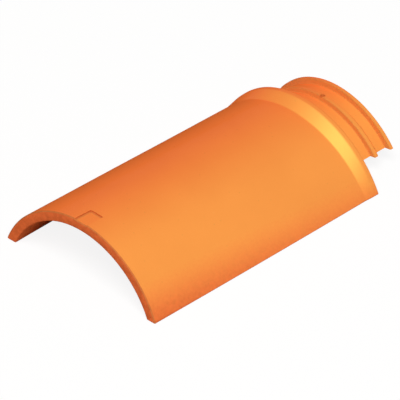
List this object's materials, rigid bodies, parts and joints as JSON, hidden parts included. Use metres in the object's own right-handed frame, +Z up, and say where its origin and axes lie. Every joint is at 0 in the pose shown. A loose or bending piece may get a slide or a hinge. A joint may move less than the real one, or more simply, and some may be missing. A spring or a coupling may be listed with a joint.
{
  "type": "clay ridge tile",
  "caption": "Half-round tapered clay ridge tile with a flared collar and a ribbed neck that slips under the next tile; covers and sheds rain from a roof ridge.",
  "frame": {"origin": "middle of the footprint on the floor plane that both feet stand on", "axes": "+X across the tile, +Y from the open front end to the neck, +Z up through the crown"},
  "size_m": [0.2402, 0.4174, 0.0821],
  "materials": {
    "fired_clay": "fired terracotta, smooth and slightly satin"
  },
  "bodies": {
    "root": {"ridge_tile": "fired_clay"}
  },
  "joints": []
}
